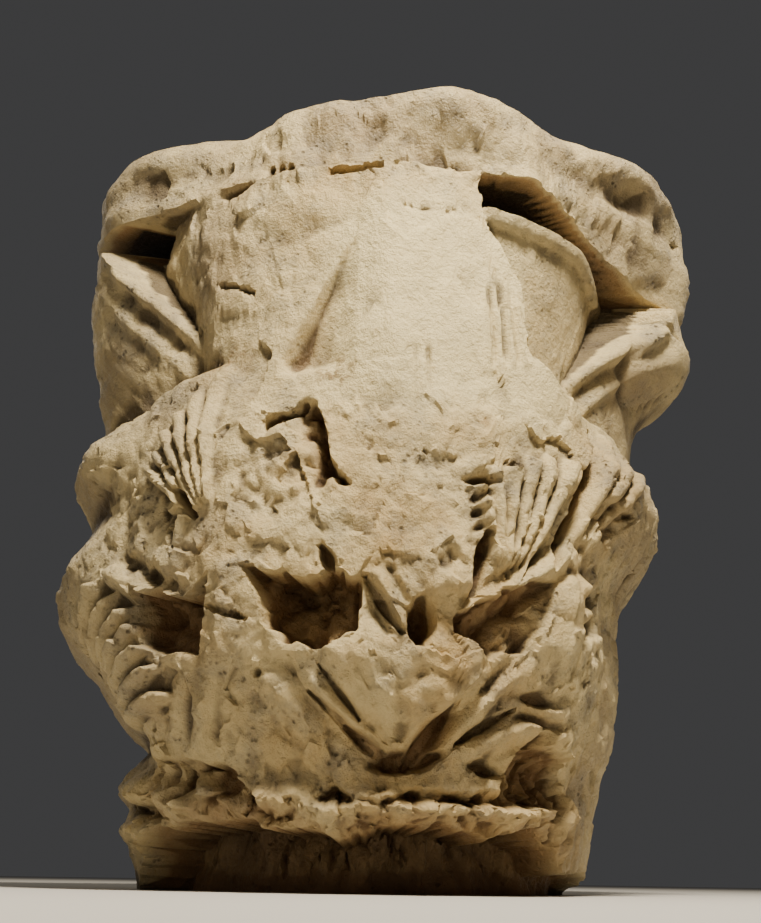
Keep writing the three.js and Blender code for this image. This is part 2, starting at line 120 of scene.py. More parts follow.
# Three-cornered gouge on the stump: its upright right edge, top, height, width in degrees and depth
GOUGE_EDGE = -10.0
GOUGE_TOP = 706.0
GOUGE_TALL = 161.0
GOUGE_WIDTH = 16.0
GOUGE_DEPTH = 30.0

# Whole leaves behind
LEAF_COUNT = 8
LEAF_PITCH = 360.0 / LEAF_COUNT
LEAF_SPREAD = 25.0
LEAFLETS = 5
LEAFLET_DEPTH = 17.0
LEAF_CHANNEL = 46.0
LOWER_PROFILE = ((0, 262), (60, 286), (100, 286), (150, 274), (180, 296), (230, 332), (270, 348), (345, 352))
UPPER_PROFILE = ((200, 262), (290, 330), (340, 344), (420, 342), (500, 330))

# Rows of whole leaves: turn of one leaf, height of the foot and of the top, profile and curl of the tip
LEAF_ROWS = (
    (0.0, 0.0, 345.0, LOWER_PROFILE, 34.0),
    (0.5 * LEAF_PITCH, 190.0, 505.0, UPPER_PROFILE, 36.0),
)

# Faces of the front leaves, which have lost their tips: radius by height on each side
FRONT_PROFILE = (
    (0, 284), (56, 298), (68, 308), (80, 314), (92, 307), (106, 300), (140, 312), (190, 334), (240, 348),
    (300, 352), (350, 350), (420, 346), (500, 330), (560, 306),
)
LEFT_PROFILE = (
    (0, 266), (20, 270), (46, 278), (65, 288), (84, 280), (110, 294), (132, 276), (149, 262), (174, 288),
    (227, 328), (257, 352), (294, 372), (331, 380), (352, 374), (376, 360), (409, 346), (440, 360),
    (470, 374), (490, 366), (520, 334), (560, 316),
)
RIGHT_PROFILE = (
    (0, 252), (74, 262), (114, 270), (155, 287), (238, 300), (300, 299), (330, 306), (362, 328), (392, 348),
    (421, 356), (456, 350), (480, 332), (500, 322), (560, 314),
)

# Heights over which the front leaves fall back to the bell, how far, and the left leaf's extra rise
LEAVES_END = (515.0, 600.0)
LEAVES_DROP = 300.0
LEFT_LEAF_TURN = -48.0
LEFT_LEAF_RISE = 24.0

# Fans of leaflets that remain: base, first and last heading, leaflets, start, reach, depth, point and lift
FANS = (
    ((-33.7, 346), (-52.0, -6.0), 6, 36, (120, 205), 16.0, 0.14, 8.0),
    ((15.6, 275), (-12.0, 33.0), 6, 34, (124, 202), 15.0, 0.14, 8.0),
    ((22.0, 268), (31.0, 47.0), 3, 110, (290, 270), 15.0, 0.14, 3.0),
    ((-80.0, 150), (34.0, 84.0), 7, 90, (206, 226), 32.0, 0.26, 6.0),
    ((90.0, -60), (-24.0, 24.0), 7, 90, (385, 385), 11.0, 0.14, -4.0),
    ((-96.0, -60), (-20.0, 12.0), 5, 90, (360, 360), 11.0, 0.14, -4.0),
    ((67.5, 150), (-14.0, 24.0), 5, 90, (310, 310), 11.0, 0.14, -4.0),
)

# Ribs as (turn, height) ends, half width and height
RIBS = (
    ((8.0, 253), (30.5, 342), 8.0, 13.0),
    ((-58.0, 326), (-40.0, 266), 10.0, 14.0),
    ((-72.0, 104), (-46.0, 88), 12.0, 12.0),
    ((-74.0, 60), (-54.0, 54), 12.0, 8.0),
    ((-6.0, 304), (-0.8, 240), 7.0, 13.0),
    ((-16.5, 198), (-3.5, 126), 7.0, 10.0),
    ((-24.0, 205), (-15.0, 128), 11.0, 7.0),
    ((20.0, 212), (7.5, 142), 6.0, 8.0),
    ((33.0, 180), (11.0, 132), 7.0, 8.0),
    ((35.0, 154), (24.0, 152), 8.0, 6.0),
    ((-36.5, 226), (-47.0, 140), 8.0, 5.0),
    ((-32.0, 232), (-40.0, 132), 8.0, 5.0),
)

# Turns of the ridge of each lower leaf beside the torn gap
LEAF_RIDGES = (-31.0, 28.5)

# Ovals on the front as turn, height, half width, half height and, for some, a tilt
PITTED_BREAK = (-24.0, 418, 46, 62)
LOW_FRAGMENT = (44.0, 66, 28, 36)
STRIPED_LUMP = (6.5, 306, 28, 42, 12)
ROLLED_BED = (39.0, 284, 38, 52, 20)
ROLLED_LEAFLETS = 3

# Wedge in the middle of the lower row: tip, top, the turns of each edge at both, and how proud it stands
WEDGE_TIP = 133.0
WEDGE_TOP = 200.0
WEDGE_LEFT = (-1.6, -13.8)
WEDGE_RIGHT = (0.6, 11.8)
WEDGE_PROUD = 16.0

# Break of the foot in front: its edge as (turn, height) pairs, its height elsewhere and the core's radius
FOOT_BREAK = (
    (-74, 0), (-66, 40), (-60, 58), (-30, 62), (-10, 54), (6, 60), (24, 56), (34, 66), (42, 40), (47, 24),
    (60, 28), (84, 22), (98, 0),
)
FOOT_WHOLE = -20.0
FOOT_CORE = 206.0

# Edges of the torn gap between the leaf rows, as (turn, height) pairs; where they cross, the rows still join
GAP_FLOOR = (
    (-52, 330), (-49, 250), (-44, 226), (-36.5, 224), (-34.8, 240), (-33.4, 330), (-29, 330), (-27, 304),
    (-24.5, 278), (-23.4, 244), (-20, 230), (-15, 226), (-8.3, 243), (-7, 330), (6, 330), (7.5, 243),
    (16, 227), (20, 227), (24, 262), (28, 330),
)
GAP_ROOF = (
    (-55, 312), (-45, 290), (-39, 284), (-34, 302), (-31, 320), (-28, 304), (-20, 297), (-15, 290),
    (-13, 302), (-8, 292), (0, 300), (7, 250), (8, 262), (14, 280), (20, 300), (28, 308), (60, 300),
)
GAP_DEPTH = ((-50, 66), (-36, 66), (-30, 80), (-16, 78), (-9, 56), (7, 50), (14, 30), (28, 24))

# Cut and broken hollows: turn, height, half width, half height, depth and tilt
HOLLOWS = (
    (1.8, 252, 11, 22, 44, 6),
    (-0.5, 123, 34, 10, 34, 0),
    (30.0, 112, 42, 30, 32, 8),
    (-35.0, 106, 22, 15, 16, 20),
    (16.0, 119, 25, 7, 22, 12),
    (24.0, 188, 24, 7, 18, 6),
    (26.5, 167, 26, 6, 18, 8),
    (13.0, 403, 18, 5, 22, -4),
    (18.5, 424, 8, 6, 16, 0),
    (12.6, 386, 9, 4.0, 15, -28),
    (12.0, 368, 7, 3.5, 13, -34),
    (12.4, 353, 8, 3.0, 11, -30),
    (-42.0, 794, 34, 9, 12, -8),
    (-25.2, 204, 4, 4, 12, 0),
    (-13.8, 152, 3, 4, 8, 0),
    (42.0, 388, 24, 20, 9, 0),
    (10.0, 90, 58, 6, 20, 3),
)

# Grooves and cracks as (turn, height) ends, half width and depth
GROOVES = (
    ((43.5, 500), (25.0, 318), 9, 34),
    ((35.0, 362), (37.6, 386), 6, 9),
    ((37.6, 386), (50.0, 405), 7, 9),
    ((-1.0, 736), (9.0, 731), 2.5, 5),
    ((8.0, 731), (12.0, 742), 2.5, 5),
    ((13.6, 348), (10.8, 284), 8, 26),
    ((-7.2, 296), (-1.4, 240), 6, 16),
    ((-41.6, 398), (-37.8, 368), 8, 24),
    ((-14.5, 326), (-12.5, 300), 8, 26),
    ((-33.5, 270), (-26.5, 254), 5, 10),
    ((8.0, 168), (1.0, 118), 15, 38),
    ((7.0, 130), (0.0, 119), 11, 32),
    ((-10.5, 154), (-1.0, 117), 9, 26),
    ((-16.5, 186), (-6.0, 134), 5, 12),
    ((-14.5, 210), (-8.0, 160), 4, 8),
    ((20.5, 176), (9.5, 140), 6, 12),
    ((-72.0, 84), (-50.0, 74), 8, 14),
    ((-45.0, 664), (-39.0, 655), 3.5, 8),
    ((-39.5, 656), (-34.0, 640), 3.5, 8),
)

# Overhanging edges of the pitted break, as (turn, height) ends with the width and depth cut in beside them
UNDERCUTS = (
    ((-17.0, 494), (-10.6, 390), 42, 36),
    ((-27.0, 468), (-18.6, 496), 20, 22),
)

# Slit under the abacus: turn, height and depth
SLIT_TURN = -11.5
SLIT_HEIGHT = 790.0
SLIT_DEPTH = 60.0

# Upper edge of the rough band round the foot of the front, as (turn, height) pairs, and a ledge in it
BAND_EDGE = (
    (-66, 150), (-52, 138), (-44, 128), (-36, 122), (-31, 104), (-26, 88), (-14, 94), (-4, 84), (2, 96),
    (19, 98), (23, 140), (28, 150), (36, 128), (39, 96), (48, 84),
)
BAND_DEPTH = 17.0
LEDGE_HEIGHT = 78.0

# Roughness, what the front leaves add, and rough zones by turn, height, half width, half height and amount
ROUGHNESS = 0.45
FRONT_ROUGHNESS = 0.16
ROUGH_ZONES = (
    (-50.0, 360, 80, 90, 1.0),
    (-66.0, 430, 60, 50, 0.9),
    (-42.0, 315, 60, 40, 1.2),
    (-10.0, 62, 260, 44, 1.5),
    (30.0, 112, 60, 50, 1.9),
    (-33.0, 760, 110, 50, 0.7),
    (-23.0, 425, 56, 60, 0.6),
    (33.0, 190, 60, 40, 0.7),
    (8.0, 310, 40, 50, 0.9),
    (-62.0, 80, 110, 60, 1.2),
)

# Rust-brown stains: turn, height, half width and half height
STAINS = (
    (-13.5, 524, 36, 30),
    (28.5, 610, 18, 70),
    (-40.0, 560, 60, 26),
    (-43.0, 800, 44, 18),
    (12.0, 470, 26, 14),
)

# How hollow the deep neck under the abacus counts, so that its colour takes a painted shadow
NECK_PAINTED_SHADOW = 120.0

# Grid of the carved surface: columns crowd towards the front, rows towards the leaves
ROWS = 244
ROW_SAMPLE = 2.5
STEEPEST = 9.0
EVENED_COLUMNS = 8
FRONT_COLUMNS = 264
SIDE_COLUMNS = 56
BACK_COLUMNS = 72
FRONT_TURN = 66.0
SIDE_TURN = 108.0
CAP_RINGS = 6
SHARP_ANGLE = 48.0

# Sockets of the colour mixing node, whose names are not unique
MIX_FACTOR = 0
MIX_BELOW = 6
MIX_OVER = 7
MIX_RESULT = 2

# Stage in metres: each light is placed to the right, ahead and up as the camera sees it, then size and power
FLOOR_HALF = 12.0
FLOOR_ROUGHNESS = 0.8
WORLD_COLOUR = "#C9C9CB"
WORLD_STRENGTH = 0.09
LIGHT_COLOUR = (1.0, 0.9, 0.74)
LIGHT_TARGET = Vector((0.0, 0.0, 0.5))
LIGHTS = (
    ("key light", 0.32, -1.18, 2.2, 0.4, 132.0),
    ("fill light", -2.2, -1.6, 1.2, 2.0, 4.0),
    ("back light right", 2.0, 1.9, 2.2, 1.6, 12.0),
    ("back light left", -1.6, 2.3, 2.2, 1.6, 12.0),
)
SENSOR_HEIGHT = 24.0
NEAREST_SEEN = 0.01


def linear(hex_colour):
    """Linear RGBA from an sRGB hex value: each channel is raised by the sRGB curve."""
    channels = [int(hex_colour[i : i + 2], 16) / 255.0 for i in (1, 3, 5)]
    curve = [c / 12.92 if c <= 0.04045 else ((c + 0.055) / 1.055) ** 2.4 for c in channels]
    return (*curve, 1.0)


def ramp(low, high, x):
    """Smooth step: nought below low, one above high, an S curve between."""
    share = np.clip((x - low) / (high - low), 0.0, 1.0)
    return share * share * (3.0 - 2.0 * share)


def mix(a, b, share):
    """Straight mix of a and b."""
    return a + (b - a) * share


def turn_from(turn, middle):
    """Signed turn from a middle direction, between -180 and 180."""
    return np.mod(turn - middle + 180.0, 360.0) - 180.0


def inside(distance, half, soft):
    """One where the distance is under the half size, falling to nought over the soft margin."""
    return 1.0 - ramp(half, half + soft, np.abs(distance))


def window(x, start, full, fade, end):
    """One from full to fade, falling by S curves to nought at the start and at the end."""
    return ramp(start, full, x) * (1.0 - ramp(fade, end, x))


def hump(distance, half):
    """Rounded hump: one in the middle, falling with the exponential of the distance squared."""
    return np.exp(-((distance / half) ** 2))


def between(pairs, x):
    """Straight lines between the pairs, level beyond their ends."""
    return np.interp(x, *np.transpose(pairs))


def along(profile, z):
    """Radius by height: a cubic through the pairs, with the slope at each pair taken from its neighbours."""
    heights = np.array([pair[0] for pair in profile], float)
    radii = np.array([pair[1] for pair in profile], float)
    slopes = np.gradient(radii, heights)
    z = np.clip(z, heights[0], heights[-1])
    i = np.clip(np.searchsorted(heights, z) - 1, 0, len(heights) - 2)
    span = heights[i + 1] - heights[i]
    s = (z - heights[i]) / span
    rise = radii[i] * (1 + 2 * s) * (1 - s) ** 2 + radii[i + 1] * s * s * (3 - 2 * s)
    return rise + span * (slopes[i] * s * (1 - s) ** 2 - slopes[i + 1] * s * s * (1 - s))


def lattice(i, j, k, seed):
    """Even random numbers from 0 to 1, one for each whole-number point, by integer mixing."""
    h = (i * 374761393 + j * 668265263 + k * 1440662683 + seed * 1274126177) & 0xFFFFFFFF
    h = ((h ^ (h >> 13)) * 1103515245) & 0xFFFFFFFF
    h = ((h ^ (h >> 15)) * 2654435761) & 0xFFFFFFFF
    return ((h ^ (h >> 16)) & 0xFFFFFF) / float(0xFFFFFF)


def lumps(points, size, seed):
    """Value noise from -1 to 1: random numbers on a cubic lattice, blended by an S curve between."""
    scaled = points / size
    cell = np.floor(scaled).astype(np.int64)
    f = scaled - cell
    f = f * f * (3.0 - 2.0 * f)
    total = 0.0
    for step in np.ndindex(2, 2, 2):
        corner = [cell[..., axis] + step[axis] for axis in range(3)]
        nearness = [np.abs(1 - step[axis] - f[..., axis]) for axis in range(3)]
        total = total + nearness[0] * nearness[1] * nearness[2] * lattice(*corner, seed)
    return 2.0 * total - 1.0


def rubble(points, size, octaves, seed):
    """Sum of value noises, each at half the size and about half the height of the one before."""
    return sum(lumps(points, size / 2**n, seed + n) * 0.55**n for n in range(octaves))


def shards(points, size, seed):
    """Flat-faced break noise: a point takes the tilted plane of the nearest of one random point a cell."""
    scaled = points / size
    cell = np.floor(scaled).astype(np.int64)
    best = np.full(cell.shape[:-1], 9.0)
    height = np.zeros(cell.shape[:-1])
    for step in np.ndindex(3, 3, 3):
        corner = [cell[..., axis] + step[axis] - 1 for axis in range(3)]
        offset = [scaled[..., axis] - corner[axis] - lattice(*corner, seed + axis) for axis in range(3)]
        reach = offset[0] ** 2 + offset[1] ** 2 + offset[2] ** 2
        lean = sum(offset[axis] * (2.0 * lattice(*corner, seed + 3 + axis) - 1.0) for axis in range(3))
        nearer = reach < best
        best = np.where(nearer, reach, best)
        height = np.where(nearer, lean + 0.6 * lattice(*corner, seed + 6) - 0.3, height)
    return height


def cylinder_points(turn, z):
    """Points of the nominal cylinder, where the noises are read."""
    azimuth = np.radians(turn + FRONT_CORNER_AZIMUTH)
    return np.stack([NOMINAL_RADIUS * np.sin(azimuth), -NOMINAL_RADIUS * np.cos(azimuth), z], -1)


def patch(turn, z, middle, height, wide, tall, tilt=0.0):
    """Distance from an oval's middle, one on its rim. A tilt in degrees leans its top to the right."""
    u = turn_from(turn, middle) * MM_PER_DEGREE
    v = z - height
    c, s = math.cos(math.radians(tilt)), math.sin(math.radians(tilt))
    return np.hypot((u * c - v * s) / wide, (u * s + v * c) / tall)


def line_gap(turn, z, start, end):
    """Distance in mm from a straight line between two (turn, height) points, and the share along it."""
    u = turn_from(turn, start[0]) * MM_PER_DEGREE
    v = z - start[1]
    du = (end[0] - start[0]) * MM_PER_DEGREE
    dv = end[1] - start[1]
    share = np.clip((u * du + v * dv) / (du * du + dv * dv), 0.0, 1.0)
    return np.hypot(u - share * du, v - share * dv), share


def fan(turn, z, base, headings, count, start, reach, depth, point):
    """Fan of leaflets spreading from a base point: a polar pattern about the base.

    The heading from the base is cut into equal leaflets, each a round finger with a groove on either side.
    The fingers begin at the start distance and end in round tips at the reach, which runs evenly from the
    first finger's to the last one's. Returns the relief, and one on the fingers and nought off them.
    """
    u = turn_from(turn, base[0]) * MM_PER_DEGREE
    v = z - base[1]
    distance = np.hypot(u, v)
    heading = np.degrees(np.arctan2(u, v))
    place = (heading - headings[0]) / (headings[1] - headings[0])
    finger = np.sqrt(np.clip(np.sin(math.pi * np.mod(place * count, 1.0)), 0.0, 1.0))
    step = (np.floor(np.clip(place, 0, 0.999) * count) + 0.5) / count
    length = mix(reach[0], reach[1], step) * (1.0 - point * (1.0 - finger))
    on = window(place, -0.02, 0.03, 0.97, 1.02)
    on = on * window(distance, start * 0.6, start * 1.4, length - 9.0, length + 3.0)
    swell = 0.55 + 0.45 * ramp(start, mix(reach[0], reach[1], 0.5), distance)
    return depth * on * swell * (finger - 0.55), on


def rib(turn, z, start, end, half, tall):
    """Rounded rib along a straight line, with a groove on either side."""
    gap, share = line_gap(turn, z, start, end)
    crest = hump(gap, half) - 0.55 * hump(gap - 2.1 * half, 0.7 * half)
    return tall * crest * window(share, 0.0, 0.12, 0.9, 1.0)


def groove(turn, z, start, end, half, deep):
    """Depth of a straight groove with steep walls, tapering at both ends."""
    gap, share = line_gap(turn, z, start, end)
    width = half * (0.35 + 0.65 * np.sin(math.pi * np.clip(share, 0.04, 0.96)))
    return deep * (1.0 - ramp(0.35 * width, 1.25 * width, gap))


def undercut(turn, z, start, end, wide, deep):
    """Depth under an overhanging edge: greatest along the line, fading over a width to one side of it."""
    u = turn_from(turn, start[0]) * MM_PER_DEGREE
    v = z - start[1]
    du = (end[0] - start[0]) * MM_PER_DEGREE
    dv = end[1] - start[1]
    length = math.hypot(du, dv)
    share = (u * du + v * dv) / length**2
    off = (u * dv - v * du) / length
    taper = window(share, -0.04, 0.12, 0.88, 1.04)
    return deep * taper * window(off, -1.5, 2.5, 0.1 * wide, wide)


def bell_radius(z):
    """Flaring core: a power curve from foot to top."""
    return mix(BELL_FOOT_RADIUS, BELL_TOP_RADIUS, np.clip(z / LIP_TOP, 0, 1) ** BELL_FLARE)


def lip_radius(turn, z, points):
    """Bell with its rounded lip and the deep neck above it, both lost on the left of the front."""
    core = bell_radius(z)
    sagging = z + LIP_SAG * ramp(48.0, 68.0, turn)
    band = ramp(LIP_FOOT - 3.0, LIP_FOOT + 4.0, sagging) * (LIP_RADIUS - BELL_TOP_RADIUS)
    lip = mix(core + band, NECK_RADIUS, ramp(LIP_TOP - 3.0, LIP_TOP + 3.0, sagging))
    broken = core + 3.0 + 4.0 * rubble(points, 70.0, 4, 20)
    broken = broken - 12.0 * ramp(LIP_TOP - 40.0, ABACUS_UNDERSIDE, z)
    return mix(lip, broken, window(turn, -79.0, -72.0, 17.0, 18.5))


def underside_height(turn):
    """Height of the abacus's underside, which comes down to the volute at the right corner."""
    return ABACUS_UNDERSIDE - UNDERSIDE_DROP * window(turn, 30.0, 78.0, 100.0, 128.0)


def abacus_sides(turn, z):
    """Hollow sides of the abacus: a parabola about each side's middle, cut off at the corners' fractures."""
    off = turn_from(turn, 45.0)
    side = np.radians(off - 90.0 * np.round(off / 90.0))
    radius = (ABACUS_SIDE + ABACUS_SAG * np.tan(side) ** 2) / np.cos(side)
    for corner, fracture, _, _ in VOLUTES:
        away = np.radians(turn_from(turn, corner))
        cut = along(fracture, z) / np.cos(np.clip(0.55 * away, -1.0, 1.0))
        radius = np.where(np.abs(away) < 1.0, np.minimum(radius, cut), radius)
    return radius


def abacus_radius(turn, z, points):
    """Abacus: whole sides behind, and in front a straight mix of its two broken outlines by height."""
    underside = underside_height(turn)
    share = np.clip((z - underside) / (HEIGHT - underside), 0.0, 1.0)
    broken = mix(along(ABACUS_FOOT, turn), along(ABACUS_TOP, turn), share)
    front = window(turn, -110.0, -98.0, 98.0, 110.0)
    radius = mix(abacus_sides(turn, z), broken, front) + 5.0 * rubble(points, 80.0, 3, 11)
    radius = radius + 12.0 * np.sin(math.pi * share) * ramp(66.0, 84.0, np.abs(turn)) * front
    middle = 0.5 * (ABACUS_UNDERSIDE + HEIGHT)
    hollow = 7.0 * hump(z - middle + 8.0, 20.0) * ramp(30.0, 44.0, np.abs(turn))
    worn = 20.0 * ramp(HEIGHT - 26.0, HEIGHT + 16.0, z) * (0.8 + 0.6 * lumps(points, 90.0, 13))
    dent = 12.0 * (1.0 - ramp(0.2, 1.0, patch(turn, z, *ABACUS_DENT)))
    holes = 0.0
    for place in DRILLED_HOLES:
        rim = patch(turn, z, *place, HOLE_REACH, HOLE_REACH)
        holes = np.maximum(holes, HOLE_DEPTH * (1.0 - ramp(0.4, 1.0, rim)))
    return radius - hollow - worn - dent - holes + 2.5 * rubble(points, 34.0, 3, 14)


def leaf_row(turn, z, first, foot, top, profile, curl):
    """Row of whole leaves: leaflets by a cosine of the heading, a curled tip and a midrib as rounded humps.

    The heading is taken from below the leaf's foot. Its sides and top fall back to a channel.
    """
    nearest = first + LEAF_PITCH * np.round(turn_from(turn, first) / LEAF_PITCH)
    off = turn_from(turn, nearest)
    aside = off * MM_PER_DEGREE
    tall = top - foot
    climb = np.clip((z - foot) / tall, 0.0, 1.0)
    heading = np.arctan2(aside, z - foot + 0.25 * tall) / math.radians(LEAF_SPREAD)
    blade = 1.0 - ramp(0.74, 1.06, np.abs(heading))
    rounding = 1.0 - ramp(0.8, 1.05, climb + 0.35 * np.abs(heading) ** 3)
    leaflets = LEAFLET_DEPTH * (np.abs(np.cos(0.5 * math.pi * LEAFLETS * heading)) ** 0.6 - 0.55)
    bend = curl * hump(z - top + 34.0, 26.0) * np.clip(1.0 - np.abs(aside) / (0.5 * tall), 0.0, 1.0)
    midrib = 7.0 * hump(aside, 14.0) * ramp(foot, foot + 60.0, z)
    face = along(profile, z)
    row = mix(face - LEAF_CHANNEL, face + leaflets + bend + midrib, blade * rounding)
    return row - 400.0 * ramp(top - 2.0, top + 40.0, z)


def corner_gouge(turn, z):
    """Depth of the three-cornered gouge: it deepens evenly leftward from its edge to a steep left wall."""
    reach = np.clip((GOUGE_TOP - z) / GOUGE_TALL, 0.0, 1.0)
    share = (GOUGE_EDGE - turn) / np.maximum(GOUGE_WIDTH * reach, 0.5)
    slope = np.clip(np.minimum(share / 0.8, (1.0 - share) / 0.2), 0.0, 1.0)
    return GOUGE_DEPTH * reach * slope * ramp(520, 548, z)


def scar_face(turn, z, middle, radius, lean):
    """Flat fracture face: its radius over the cosine of the turn from its middle, leaning in with height."""
    rightmost = SCAR_SPREAD + 40.0 * (middle < 0.0)
    away = np.radians(np.clip(turn - middle, -70.0, rightmost))
    return (radius - lean * (np.maximum(z, SCAR_FOOT) - SCAR_LEVEL)) / np.cos(away)


def scar_radius(turn, z, points):
    """Front corner's stump: the nearer of two fracture faces, with a gouge, flutes and scored lines."""
    right, left = (scar_face(turn, z, *face) for face in SCAR_FACES)
    blend = np.sqrt((right - left) ** 2 + 25.0)
    face = 0.5 * (right + left - blend) + 3.0 * rubble(points, 60.0, 4, 21) + 3.0 * shards(points, 70.0, 23)
    face = face - corner_gouge(turn, z)
    flutes = inside(turn - 19.5, 3.4, 1.0) * inside(z - 592.0, 40.0, 14.0)
    face = face + 3.5 * flutes * np.cos(2.0 * math.pi * turn / 2.3)
    for middle in SCORED_LINES:
        face = face - 3.4 * inside(turn - middle, 0.25, 0.45) * inside(z - 503.0, 44.0, 12.0)
    return face


def scar_edge(turn, z, points):
    """Nought on the stump and one beyond its ragged right edge."""
    edge = between(SCAR_EDGE, z) + shards(points, 46.0, 24) + 0.7 * rubble(points, 40.0, 3, 22)
    return ramp(edge, edge + mix(8.0, 1.2, ramp(520.0, 560.0, z)), turn)


def volute_radius(turn, z, points, corner, fracture, top, level):
    """Volute stump: a blade from the bell out to its fracture, under a slanting edge with a double rim."""
    off = turn_from(turn, corner)
    core = bell_radius(np.minimum(z, LIP_FOOT))
    upper = top - VOLUTE_SLANT * np.maximum(0.0, np.abs(off) - level)
    below = upper - z
    blade = inside(off, 6.0, 40.0)
    rim = 6.0 * hump(below - 10.0, 8.0) - 7.0 * hump(below - 34.0, 11.0) + 5.0 * hump(below - 62.0, 10.0)
    out = along(fracture, z) + 3.0 * rubble(points, 46.0, 3, 31)
    face = core + np.maximum(0.0, out - core) * blade + rim * window(blade, 0.05, 0.3, 0.7, 0.98)
    soft = mix(6.0, 34.0, ramp(70.0, 100.0, np.abs(turn)))
    return face * (1.0 - ramp(upper - 0.3 * soft, upper + soft, z)) * ramp(470.0, 480.0, z)


def scroll_relief(turn, z):
    """Round end of the right volute: a raised disc inside a ring groove."""
    ring = patch(turn, z, *SCROLL)
    return 7.0 * (1.0 - ramp(0.82, 1.02, ring)) - 6.0 * hump(ring - 1.14, 0.1)


def side_profiles(turn, z):
    """Face of the leaves from side to side: the left, front and right profiles blended by turn."""
    face = mix(along(FRONT_PROFILE, z), along(LEFT_PROFILE, z), ramp(-46.0, -74.0, turn))
    return mix(face, along(RIGHT_PROFILE, z), ramp(27.0, 54.0, turn))


def striped_lump(turn, z, points):
    """Rough lump right of the middle, with slanting stripes made by a sine across them."""
    lump = 1.0 - ramp(0.5, 1.1, patch(turn, z, *STRIPED_LUMP))
    stripes = 1.5 * np.sin((turn * MM_PER_DEGREE + 0.8 * z) / 3.2)
    return lump * (13.0 + stripes + 9.0 * rubble(points, 22.0, 3, 44))


def wedge_relief(turn, z, points):
    """Wedge of the lower row: it stands proud between two edges that part evenly above its tip."""
    share = np.clip((z - WEDGE_TIP) / (WEDGE_TOP - WEDGE_TIP), 0.0, 1.0)
    left = mix(*WEDGE_LEFT, share)
    right = mix(*WEDGE_RIGHT, share)
    sides = window(turn, left - 0.8, left + 0.8, right - 0.8, right + 0.8)
    ends = window(z, WEDGE_TIP - 4.0, WEDGE_TIP + 2.0, WEDGE_TOP + 15.0, WEDGE_TOP + 65.0)
    return sides * ends * (WEDGE_PROUD + 6.0 * rubble(points, 34.0, 3, 43))


def rolled_leaflets(turn, z):
    """Leaflets right of the right ridge: a sunken bed with ribs that rise to the right."""
    relief = -16.0 * (1.0 - ramp(0.6, 1.1, patch(turn, z, *ROLLED_BED)))
    for step in range(ROLLED_LEAFLETS):
        start = (35.0 - 2.0 * step, 244 + 27 * step)
        relief = relief + rib(turn, z, start, (45.0, 268 + 30 * step), 8.0, 10.0)
    return relief


def front_body(turn, z, points):
    """Front leaves as they are left: a swelling face, and on it the fans, ribs and lumps that remain."""
    body = side_profiles(turn, z) + 4.0 * rubble(points, 70.0, 4, 41)
    pitted = 1.0 - ramp(0.7, 1.15, patch(turn, z, *PITTED_BREAK))
    body = body - pitted * (6.0 + 4.5 * rubble(points, 13.0, 2, 42))
    for *shape, lift in FANS:
        relief, on = fan(turn, z, *shape)
        body = body + relief + lift * on
    for line in RIBS:
        body = body + rib(turn, z, *line)
    for middle in LEAF_RIDGES:
        off = np.abs(turn - middle) * MM_PER_DEGREE
        body = body + 12.0 * np.exp(-off / 24.0) * window(z, 170.0, 240.0, 300.0, 330.0)
    body = body + 14.0 * (1.0 - ramp(0.4, 1.1, patch(turn, z, *LOW_FRAGMENT)))
    return body + striped_lump(turn, z, points) + wedge_relief(turn, z, points) + rolled_leaflets(turn, z)


def torn_gap(turn, z, points):
    """Depth of the torn gap between the leaf rows: between its ragged floor and roof lines."""
    floor = between(GAP_FLOOR, turn) + 7.0 * rubble(points, 22.0, 3, 52)
    roof = between(GAP_ROOF, turn) + 6.0 * rubble(points, 14.0, 2, 53)
    depth = between(GAP_DEPTH, turn) + 12.0 * rubble(points, 26.0, 3, 54)
    slope = mix(0.55, 1.0, ramp(0.0, 60.0, z - floor))
    return depth * slope * window(z, floor - 3.0, floor + 4.0, roof - 2.0, roof + 2.0)


def broken_band(turn, z, points):
    """Depth of the rough band round the foot of the front, with a thin ledge left standing in it."""
    edge = between(BAND_EDGE, turn) + 8.0 * rubble(points, 26.0, 3, 55)
    below = (1.0 - ramp(edge - 5.0, edge + 3.0, z)) * window(turn, -66.0, -56.0, 40.0, 48.0)
    ledge = hump(z - LEDGE_HEIGHT - 7.0 * rubble(points, 44.0, 2, 56), 7.0) * inside(turn - 3.0, 20.0, 12.0)
    rough = 13.0 * shards(points, 24.0, 57) + 9.0 * rubble(points, 24.0, 3, 58)
    return below * (BAND_DEPTH * (1.0 - 0.7 * ledge) + rough * (1.0 - 0.3 * ledge))


def front_hollows(turn, z, points):
    """Depth of the cut and broken hollows of the front, as ovals and grooves with steep rough walls."""
    ragged = 0.22 * rubble(points, 22.0, 3, 51)
    depth = 0.0
    for middle, height, wide, tall, deep, tilt in HOLLOWS:
        rim = patch(turn, z, middle, height, wide, tall, tilt) - 1.0 + ragged
        depth = np.maximum(depth, deep * (1.0 - ramp(-5.0, 3.0, rim * min(wide, tall))))
    for line in GROOVES:
        depth = np.maximum(depth, groove(turn, z, *line))
    shaken_turn = turn + 1.1 * rubble(points, 30.0, 3, 59)
    shaken_z = z + 30.0 * ragged
    for start, end, wide, deep in UNDERCUTS:
        rough_depth = deep * (1.0 + 2.0 * ragged)
        depth = np.maximum(depth, undercut(shaken_turn, shaken_z, start, end, wide, rough_depth))
    return depth


